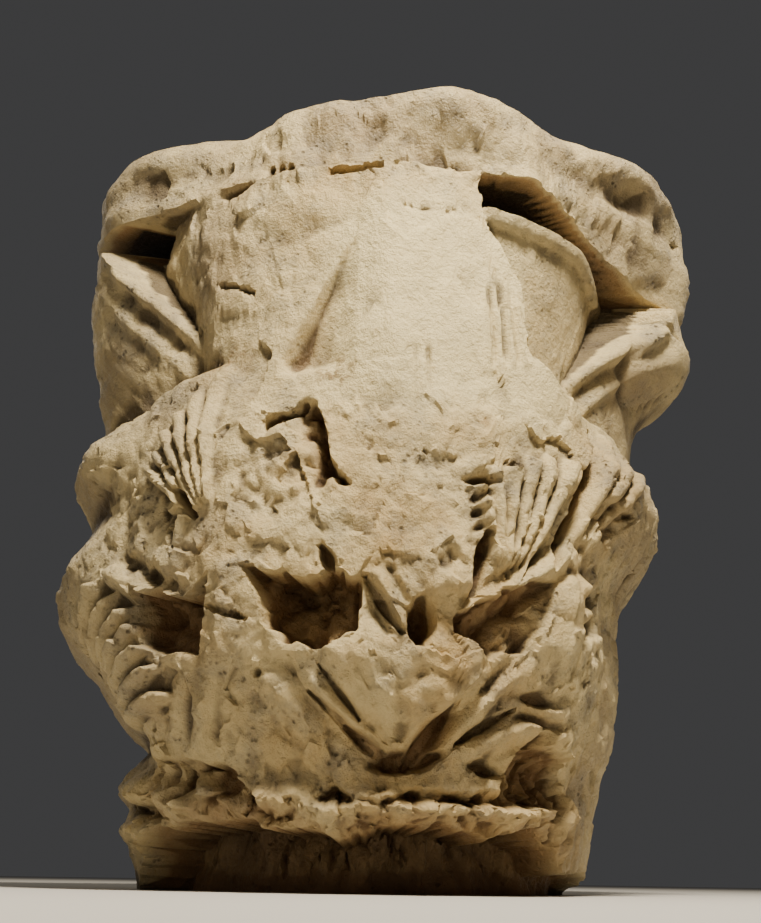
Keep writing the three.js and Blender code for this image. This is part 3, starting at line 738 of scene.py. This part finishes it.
def broken_relief(turn, z, points):
    """Roughness of the worn and broken surface: flat chips and lumps, strongest in the broken zones."""
    rough = ROUGHNESS + FRONT_ROUGHNESS * inside(z - 270.0, 190.0, 50.0) * inside(turn, 44.0, 20.0)
    for *oval, amount in ROUGH_ZONES:
        rough = np.maximum(rough, amount * (1.0 - ramp(0.6, 1.2, patch(turn, z, *oval))))
    smooth = inside(turn - 22.0, 52.0, 16.0) * window(z, 470.0, 520.0, 762.0, 790.0)
    rough = rough * (1.0 - 0.62 * smooth)
    chips = 7.0 * shards(points, 42.0, 72) + 4.4 * shards(points, 19.0, 82)
    chips = chips + 2.5 * rubble(points, 18.0, 3, 71)
    return rough * chips * window(z, 2.0, 20.0, HEIGHT - 12.0, HEIGHT)


def uncut_radius(turn, z, points):
    """Stone before its hollows are cut: whichever stands out furthest of bell, leaves, stump and volutes."""
    bell = lip_radius(turn, z, points)
    lower, upper = (leaf_row(turn, z, *row) for row in LEAF_ROWS)
    front = window(turn, -112.0, -96.0, 96.0, 112.0)
    rise = LEFT_LEAF_RISE * inside(turn - LEFT_LEAF_TURN, 8.0, 8.0)
    ending = LEAVES_DROP * ramp(*LEAVES_END, z - rise) * front
    leaves = mix(np.maximum(lower, upper), front_body(turn, z, points), front) - ending
    whole = mix(leaves + ending, scar_radius(turn, z, points), ramp(455.0, 545.0, z))
    stays = ramp(-60.0, -28.0, turn) * (1.0 - scar_edge(turn, z, points)) * ramp(440.0, 460.0, z)
    radius = mix(np.maximum(bell, leaves), np.maximum(bell, whole), stays)
    for volute in VOLUTES:
        radius = np.maximum(radius, volute_radius(turn, z, points, *volute))
    return radius + scroll_relief(turn, z)


def foot_broken(turn, z, points, radius):
    """Radius with the foot broken away in front, back to a rough core below the break's ragged edge."""
    edge = np.interp(turn, *np.transpose(FOOT_BREAK), left=FOOT_WHOLE, right=FOOT_WHOLE)
    edge = edge + 9.0 * rubble(points, 30.0, 3, 61)
    gone = 1.0 - ramp(edge - 5.0, edge + 3.0, z)
    core = FOOT_CORE + 10.0 * rubble(points, 60.0, 3, 62)
    return mix(radius, np.minimum(radius, core), gone)


def stone_radius(turn, z):
    """Radius of the finished stone, and how hollow it is, by turn and height; the neck and the gouge count
    extra hollow, for painted shade.
    """
    turn, z = np.broadcast_arrays(turn_from(turn, 0.0), z)
    points = cylinder_points(turn, z)
    uncut = uncut_radius(turn, z, points)
    carved = uncut - np.maximum(front_hollows(turn, z, points), torn_gap(turn, z, points))
    carved = foot_broken(turn, z, points, carved - broken_band(turn, z, points))
    carved = carved - SLIT_DEPTH * inside(turn - SLIT_TURN, 5.6, 0.8) * inside(z - SLIT_HEIGHT, 5.0, 2.0)
    underside = underside_height(turn)
    above = ramp(underside - 4.0, underside, z)
    # Painted shadow: the neck under the abacus counts as very hollow, and the gouge as partly hollow, so
    # their colour is darkened as shade
    neck = NECK_PAINTED_SHADOW * ramp(LIP_TOP - 30.0, LIP_TOP + 4.0, z) * (uncut < NECK_RADIUS + 40.0)
    hollow = (uncut - carved + neck + 0.7 * corner_gouge(turn, z)) * (1.0 - ramp(0.7, 1.0, above))
    radius = mix(carved, abacus_radius(turn, z, points), above)
    return radius + broken_relief(turn, z, points), hollow


def columns():
    """Turns of the columns, closest together in front and widest apart at the back."""
    front = np.linspace(-FRONT_TURN, FRONT_TURN, FRONT_COLUMNS, endpoint=False)
    right = np.linspace(FRONT_TURN, SIDE_TURN, SIDE_COLUMNS // 2, endpoint=False)
    back = np.linspace(SIDE_TURN, 360.0 - SIDE_TURN, BACK_COLUMNS, endpoint=False)
    left = np.linspace(360.0 - SIDE_TURN, 360.0 - FRONT_TURN, SIDE_COLUMNS // 2, endpoint=False)
    return np.concatenate([front, right, back, left])


def row_heights(turns):
    """Heights of the rows in each column, in equal steps along the carved profile."""
    fine = np.arange(0.0, HEIGHT + 0.5, ROW_SAMPLE)
    radius, _ = stone_radius(turns[:, None], fine[None, :])
    slope = np.gradient(radius, fine, axis=1)
    weight = np.minimum(np.sqrt(1.0 + slope**2), STEEPEST) * (1.0 + 0.7 * inside(fine - 285.0, 240.0, 40.0))
    spread = np.exp(-(np.arange(-EVENED_COLUMNS, EVENED_COLUMNS + 1) ** 2) / 18.0)
    shifted = (w * np.roll(weight, k - EVENED_COLUMNS, axis=0) for k, w in enumerate(spread))
    climb = np.cumsum(sum(shifted) / spread.sum(), axis=1)
    climb = (climb - climb[:, :1]) / (climb[:, -1:] - climb[:, :1]) * 0.999
    order = np.arange(len(turns))[:, None]
    wanted = order + np.linspace(0.0, 0.999, ROWS)[None, :]
    place = np.interp(wanted.ravel(), (order + climb).ravel(), np.tile(fine, len(turns)))
    return place.reshape(len(turns), ROWS)


def grid_triangles(rows, count, rising):
    """Triangles of a grid of rings closed by one point at each end, which come after the rings' points.

    Each cell is split along its rising diagonal where that is asked for and along the other one elsewhere.
    """
    row = np.arange(rows - 1)[:, None] * count
    here = np.arange(count)[None, :]
    after = (here + 1) % count
    a, b, c, d = row + here, row + after, row + after + count, row + here + count
    first = np.stack([a, b, np.where(rising, c, d)], -1)
    second = np.stack([np.where(rising, a, b), c, d], -1)
    last = (rows - 1) * count
    foot = np.full(count, rows * count)
    low = np.stack([after[0], here[0], foot], -1)
    high = np.stack([last + here[0], last + after[0], foot + 1], -1)
    return np.concatenate([first.reshape(-1, 3), second.reshape(-1, 3), low, high])


def grid_mesh(name, rings, rising, foot, head, attributes):
    """Closed mesh from rings of points and one point at each end, with values on the points."""
    points = np.concatenate([rings.reshape(-1, 3), [foot], [head]])
    triangles = grid_triangles(rings.shape[0], rings.shape[1], rising)
    loops = triangles.ravel()
    mesh = bpy.data.meshes.new(name)
    mesh.vertices.add(len(points))
    mesh.vertices.foreach_set("co", (points * MM).ravel())
    mesh.loops.add(len(loops))
    mesh.loops.foreach_set("vertex_index", loops.astype(np.int32))
    mesh.polygons.add(len(triangles))
    mesh.polygons.foreach_set("loop_start", np.arange(0, len(loops), 3, dtype=np.int32))
    for title, values in attributes.items():
        layer = mesh.attributes.new(title, "FLOAT", "POINT")
        layer.data.foreach_set("value", np.concatenate([values.ravel(), [0.0, 0.0]]).astype(np.float32))
    mesh.update(calc_edges=True)
    mesh.validate()
    mesh.polygons.foreach_set("use_smooth", np.ones(len(mesh.polygons), bool))
    mesh.set_sharp_from_angle(angle=math.radians(SHARP_ANGLE))
    return mesh


def fitting_diagonals(turns, heights, radius):
    """True where a cell's rising diagonal is nearer to the carved surface at the cell's middle."""
    step = turn_from(np.roll(turns, -1), turns)
    after = np.roll(radius, -1, axis=1)
    height = 0.5 * (heights + np.roll(heights, -1, axis=1))
    level, _ = stone_radius((turns + 0.5 * step)[None, :], 0.5 * (height[:-1] + height[1:]))
    rising = 0.5 * (radius[:-1] + after[1:])
    falling = 0.5 * (after[:-1] + radius[1:])
    return np.abs(rising - level) < np.abs(falling - level)


def sunken(radius):
    """How far each point lies under the mean of its neighbours, over a few steps of the grid either way."""
    mean = radius
    for axis, reach in ((0, 5), (1, 7)):
        weights = np.exp(-2.0 * (np.arange(-reach, reach + 1) / reach) ** 2)
        mean = sum(w * np.roll(mean, k - reach, axis) for k, w in enumerate(weights)) / weights.sum()
    return mean - radius


def stone_layers(turns, heights, radius, hollow):
    """Values on the points that the stone's colours follow, from nought, or in mm for hollow and cavity."""
    behind = ramp(70.0, 108.0, np.abs(turn_from(turns, 0.0)))
    aside = np.abs(turn_from(turns, 6.0))
    ovals = [1.0 - ramp(0.3, 1.1, patch(turns, heights, *stain)) for stain in STAINS]
    return {
        "hollow": hollow,
        # Painted shade: how sunken each point lies, which darkens the creases, less so at the back
        "painted_crease_shade": sunken(radius) * (1.0 - 0.75 * behind),
        "fresh": inside(turns - 8.0, 18.0, 14.0) * window(heights, 440.0, 520.0, 700.0, 800.0),
        "rust": np.maximum.reduce(ovals),
        "grey_sides_and_top": np.maximum(ramp(24.0, 62.0, aside), 0.75 * ramp(775.0, 840.0, heights)),
    }


def carved_stone():
    """Mesh of the carved surface, from the middle of the lower bed to the middle of the upper bed."""
    turns = columns()
    heights = row_heights(turns).T
    radius, hollow = stone_radius(turns[None, :], heights)
    rising = fitting_diagonals(turns, heights, radius)
    layers = stone_layers(turns[None, :], heights, radius, hollow)
    azimuth = np.radians(turns + FRONT_CORNER_AZIMUTH)[None, :]
    shares = np.linspace(1.0, 0.0, CAP_RINGS, endpoint=False)[1:, None]
    lower = radius[:1] * shares[::-1]
    upper = radius[-1:] * shares
    flat = np.ones((len(shares), len(turns)), bool)
    rising = np.concatenate([flat, rising, flat])
    radius = np.concatenate([lower, radius, upper])
    heights = np.concatenate([0.0 * lower, heights, 0.0 * upper + HEIGHT])
    layers = {title: np.concatenate([0.0 * lower, layer, 0.0 * upper]) for title, layer in layers.items()}
    rings = np.stack([radius * np.sin(azimuth), -radius * np.cos(azimuth), heights], -1)
    return grid_mesh("capital_stone", rings, rising, (0, 0, 0), (0, 0, HEIGHT), layers)


def add_node(tree, kind, links=(), **settings):
    """Adds a shader node, sets its properties and inputs by name, and links its inputs from outputs."""
    node = tree.nodes.new(kind)
    for key, value in settings.items():
        if hasattr(node, key):
            setattr(node, key, value)
        else:
            node.inputs[key].default_value = value
    for socket, output in links:
        tree.links.new(output, node.inputs[socket])
    return node


def speckle(tree, place, size, detail, roughness):
    """Cloudy noise whose largest spots are about the given size in mm."""
    links = [("Vector", place)]
    scale = 1.0 / (size * MM)
    node = add_node(tree, "ShaderNodeTexNoise", links, Scale=scale, Detail=detail, Roughness=roughness)
    return node.outputs["Fac"]


def point_value(tree, title):
    """Value that the mesh holds on its points under a title."""
    return add_node(tree, "ShaderNodeAttribute", attribute_name=title).outputs["Fac"]


def tinted(tree, below, factor, colour):
    """Mixes a colour over the colour below by a factor."""
    node = add_node(tree, "ShaderNodeMix", data_type="RGBA")
    tree.links.new(factor, node.inputs[MIX_FACTOR])
    tree.links.new(below, node.inputs[MIX_BELOW])
    node.inputs[MIX_OVER].default_value = linear(colour)
    return node.outputs[MIX_RESULT]


def rescaled(tree, value, low, high, top=1.0):
    """Maps a value from low..high to 0..top, held within those ends."""
    node = add_node(tree, "ShaderNodeMapRange", [("Value", value)])
    node.inputs["From Min"].default_value = low
    node.inputs["From Max"].default_value = high
    node.inputs["To Max"].default_value = top
    return node.outputs["Result"]


def product(tree, first, second):
    """Product of two values."""
    node = add_node(tree, "ShaderNodeMath", operation="MULTIPLY")
    tree.links.new(first, node.inputs[0])
    tree.links.new(second, node.inputs[1])
    return node.outputs[0]


def bumped(tree, height, strength, deep, below=None):
    """Normal of a bump by a height, so many mm deep, over the normal below if there is one."""
    links = [("Height", height)]
    if below is not None:
        links.append(("Normal", below))
    return add_node(tree, "ShaderNodeBump", links, Strength=strength, Distance=deep * MM).outputs["Normal"]


def limestone_material(colours):
    """Pale limestone, dull and grainy: brown in hollows, grey in blotches and towards the sides and the
    abacus, stained and pitted, with painted shade in the creases and deep hollows and a painted shadow in
    the neck.
    """
    material = bpy.data.materials.new("Weathered cream limestone")
    material.use_nodes = True
    tree = material.node_tree
    tree.nodes.clear()
    place = add_node(tree, "ShaderNodeTexCoord").outputs["Object"]
    clouds = speckle(tree, place, 160, 8.0, 0.62)
    blotches = speckle(tree, place, 55, 8.0, 0.7)
    flecks = speckle(tree, place, 18, 6.0, 0.75)
    specks = speckle(tree, place, 7, 4.0, 0.7)
    grain = speckle(tree, place, 4, 6.0, 0.7)
    pits = add_node(tree, "ShaderNodeTexVoronoi", [("Vector", place)], Scale=1.0 / (9 * MM))
    grey_sides_and_top = point_value(tree, "grey_sides_and_top")
    fresh = point_value(tree, "fresh")
    painted_crease_shade = point_value(tree, "painted_crease_shade")
    hollow = point_value(tree, "hollow")
    # Skin of the stone: warm clouds, grey patches towards the sides and on the abacus and in blotches, and
    # the fresh break
    base = add_node(tree, "ShaderNodeRGB").outputs[0]
    base.default_value = linear(colours.pale)
    tone = tinted(tree, base, rescaled(tree, clouds, 0.46, 0.66, 0.75), colours.warm)
    grey_patches = product(tree, grey_sides_and_top, rescaled(tree, clouds, 0.36, 0.62))
    tone = tinted(tree, tone, rescaled(tree, grey_patches, 0.0, 1.0, 0.6), colours.grey)
    tone = tinted(tree, tone, rescaled(tree, blotches, 0.48, 0.68, 0.75), colours.grey)
    tone = tinted(tree, tone, rescaled(tree, fresh, 0.0, 1.0, 0.75), colours.fresh)
    tone = tinted(tree, tone, rescaled(tree, specks, 0.58, 0.74, 0.5), colours.warm)
    # Rust flecks, and dark pits where the skin is worn
    rusty = product(tree, point_value(tree, "rust"), rescaled(tree, flecks, 0.47, 0.58))
    tone = tinted(tree, tone, rescaled(tree, rusty, 0.0, 1.0, 0.7), colours.rust)
    worn = product(tree, rescaled(tree, blotches, 0.5, 0.64), rescaled(tree, fresh, 0.7, 0.1))
    pitted = product(tree, rescaled(tree, pits.outputs["Distance"], 0.32, 0.1), worn)
    tone = tinted(tree, tone, rescaled(tree, pitted, 0.0, 1.0, 0.65), colours.stain)
    # Painted shade in the creases; brown in the hollows, with painted shade on the gouge; painted shade in
    # the deeper hollows, darker the deeper they are; a near black painted shadow in the neck
    tone = tinted(tree, tone, rescaled(tree, painted_crease_shade, 0.5, 5.5, 0.8), colours.stain)
    tone = tinted(tree, tone, rescaled(tree, hollow, 6.0, 34.0, 0.7), colours.brown)
    tone = tinted(tree, tone, rescaled(tree, hollow, 40.0, 100.0, 0.7), colours.stain)
    tone = tinted(tree, tone, rescaled(tree, hollow, 104.0, 118.0, 0.9), colours.deep)
    # Grain, specks, flecks and pits raised or sunk in the surface
    normal = bumped(tree, grain, 0.55, 4)
    normal = bumped(tree, specks, 0.6, 7, normal)
    normal = bumped(tree, flecks, 0.5, 12, normal)
    normal = bumped(tree, rescaled(tree, pitted, 1.0, 0.0), 0.7, 5, normal)
    shader = add_node(tree, "ShaderNodeBsdfPrincipled", [("Base Color", tone), ("Normal", normal)])
    tree.links.new(rescaled(tree, grain, 0.2, 0.8, 0.95), shader.inputs["Roughness"])
    shader.inputs["IOR"].default_value = 1.5
    shader.inputs["Specular IOR Level"].default_value = 0.25
    add_node(tree, "ShaderNodeOutputMaterial", [("Surface", shader.outputs["BSDF"])])
    return material


def colour_setting(name, description, default):
    """Setting that holds a colour as an sRGB hex value."""
    return StringProperty(name=name, description=f"{description}, sRGB hex", default=default)


class CapitalColours(bpy.types.PropertyGroup):
    """Colours of the stone and the floor."""

    pale: colour_setting("Pale stone", "Worn stone", "#D0BC8C")
    fresh: colour_setting("Fresh break", "Broken corner", "#E8D6A2")
    warm: colour_setting("Warm stone", "Stained stone", "#B0925E")
    grey: colour_setting("Grey stone", "Weathered skin", "#8E8571")
    brown: colour_setting("Brown stone", "Sheltered stone", "#866440")
    # Stain colour: dark in the pits, and painted shade in the creases and the deeper hollows
    stain: colour_setting("Brown stain and painted shade", "Pits and painted shade in creases and hollows", "#3E3124")
    # Painted shadow in the deep neck under the abacus
    deep: colour_setting("Painted deep shadow", "Painted shadow deep under the abacus", "#1A140E")
    rust: colour_setting("Rust stain", "Rust-brown flecks", "#7E6238")
    floor: colour_setting("Floor", "Studio floor", "#BDBAB4")


class CapitalCamera(bpy.types.PropertyGroup):
    """Place of the camera, which stands just above the floor and looks up at the broken corner."""

    azimuth: FloatProperty(
        name="Azimuth", description="Direction of the camera", default=math.radians(39.0), unit="ROTATION"
    )
    distance: FloatProperty(name="Distance", description="From the axis", default=1.538, unit="LENGTH")
    height: FloatProperty(name="Height", description="Above the floor", default=0.013, unit="LENGTH")
    pitch: FloatProperty(
        name="Pitch", description="Upward tilt", default=math.radians(18.6), unit="ROTATION"
    )
    yaw: FloatProperty(
        name="Yaw", description="Turn to the left of the axis", default=math.radians(-0.28), unit="ROTATION"
    )
    roll: FloatProperty(
        name="Roll", description="Tilt of the picture", default=math.radians(1.0), unit="ROTATION"
    )
    focal: FloatProperty(name="Focal length", description="In picture heights", default=1.35)


def studio_world(scene):
    """Even, dim light from all round."""
    world = bpy.data.worlds.new("Studio")
    scene.world = world
    world.use_nodes = True
    background = world.node_tree.nodes["Background"]
    background.inputs["Color"].default_value = linear(WORLD_COLOUR)
    background.inputs["Strength"].default_value = WORLD_STRENGTH


def studio_floor(scene):
    """Plain pale floor under the stone."""
    mesh = bpy.data.meshes.new("floor")
    corners = [(x * FLOOR_HALF, y * FLOOR_HALF, 0) for x, y in ((-1, -1), (1, -1), (1, 1), (-1, 1))]
    mesh.from_pydata(corners, [], [(0, 1, 2, 3)])
    floor = bpy.data.objects.new("floor", mesh)
    scene.collection.objects.link(floor)
    paint = bpy.data.materials.new("Pale floor paint")
    paint.use_nodes = True
    shader = paint.node_tree.nodes["Principled BSDF"]
    shader.inputs["Base Color"].default_value = linear(scene.capital_colours.floor)
    shader.inputs["Roughness"].default_value = FLOOR_ROUGHNESS
    mesh.materials.append(paint)


def studio_lights(scene, right, forward):
    """Soft square lights, all aimed at the middle of the stone."""
    for title, side, ahead, up, width, power in LIGHTS:
        light = bpy.data.lights.new(title, "AREA")
        light.size = width
        light.energy = power
        light.color = LIGHT_COLOUR
        lamp = bpy.data.objects.new(title, light)
        lamp.location = right * side + forward * ahead + Vector((0, 0, up))
        aim = LIGHT_TARGET - lamp.location
        lamp.rotation_euler = aim.to_track_quat("-Z", "Y").to_euler()
        scene.collection.objects.link(lamp)


def studio_camera(scene, settings, forward):
    """Camera in front of the broken corner, turned by its azimuth, pitch, yaw and roll in that order."""
    data = bpy.data.cameras.new("camera")
    data.sensor_fit = "VERTICAL"
    data.sensor_height = SENSOR_HEIGHT
    data.lens = settings.focal * data.sensor_height
    data.clip_start = NEAREST_SEEN
    camera = bpy.data.objects.new("camera", data)
    scene.collection.objects.link(camera)
    pose = Matrix.Translation(-forward * settings.distance + Vector((0, 0, settings.height)))
    tilt = math.radians(90.0) + settings.pitch
    for angle, axis in ((settings.azimuth, "Z"), (tilt, "X"), (settings.yaw, "Y"), (settings.roll, "Z")):
        pose = pose @ Matrix.Rotation(angle, 4, axis)
    camera.matrix_world = pose
    scene.camera = camera


class CAPITAL_OT_carve(bpy.types.Operator):
    """Carve the capital as one closed stone"""

    bl_idname = "capital.carve"
    bl_label = "Carve capital"

    def execute(self, context):
        stone = bpy.data.objects.new("capital_stone", carved_stone())
        context.scene.collection.objects.link(stone)
        stone.data.materials.append(limestone_material(context.scene.capital_colours))
        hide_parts("capital")
        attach(stone, "root")
        return {"FINISHED"}


class CAPITAL_OT_stage(bpy.types.Operator):
    """Set the floor, the lights and the camera"""

    bl_idname = "capital.stage"
    bl_label = "Set stage"

    def execute(self, context):
        scene = context.scene
        settings = scene.capital_camera
        forward = Vector((-math.sin(settings.azimuth), math.cos(settings.azimuth), 0.0))
        right = Vector((math.cos(settings.azimuth), math.sin(settings.azimuth), 0.0))
        studio_world(scene)
        studio_floor(scene)
        studio_lights(scene, right, forward)
        studio_camera(scene, settings, forward)
        return {"FINISHED"}


class CAPITAL_PT_panel(bpy.types.Panel):
    """Lists the capital's settings and steps"""

    bl_idname = "CAPITAL_PT_panel"
    bl_label = "Capital"
    bl_space_type = "VIEW_3D"
    bl_region_type = "UI"
    bl_category = "Capital"

    def draw(self, context):
        for settings in (context.scene.capital_colours, context.scene.capital_camera):
            for title in type(settings).__annotations__:
                self.layout.prop(settings, title)
        for operator in (CAPITAL_OT_carve, CAPITAL_OT_stage):
            self.layout.operator(operator.bl_idname)


CLASSES = (CapitalColours, CapitalCamera, CAPITAL_OT_carve, CAPITAL_OT_stage, CAPITAL_PT_panel)


def register():
    for cls in CLASSES:
        bpy.utils.register_class(cls)
    bpy.types.Scene.capital_colours = PointerProperty(type=CapitalColours)
    bpy.types.Scene.capital_camera = PointerProperty(type=CapitalCamera)


def unregister():
    del bpy.types.Scene.capital_camera
    del bpy.types.Scene.capital_colours
    for cls in reversed(CLASSES):
        bpy.utils.unregister_class(cls)


def main():
    register()
    bpy.ops.capital.carve()
    bpy.ops.capital.stage()
    bpy.context.view_layer.update()


if __name__ == "__main__":
    main()
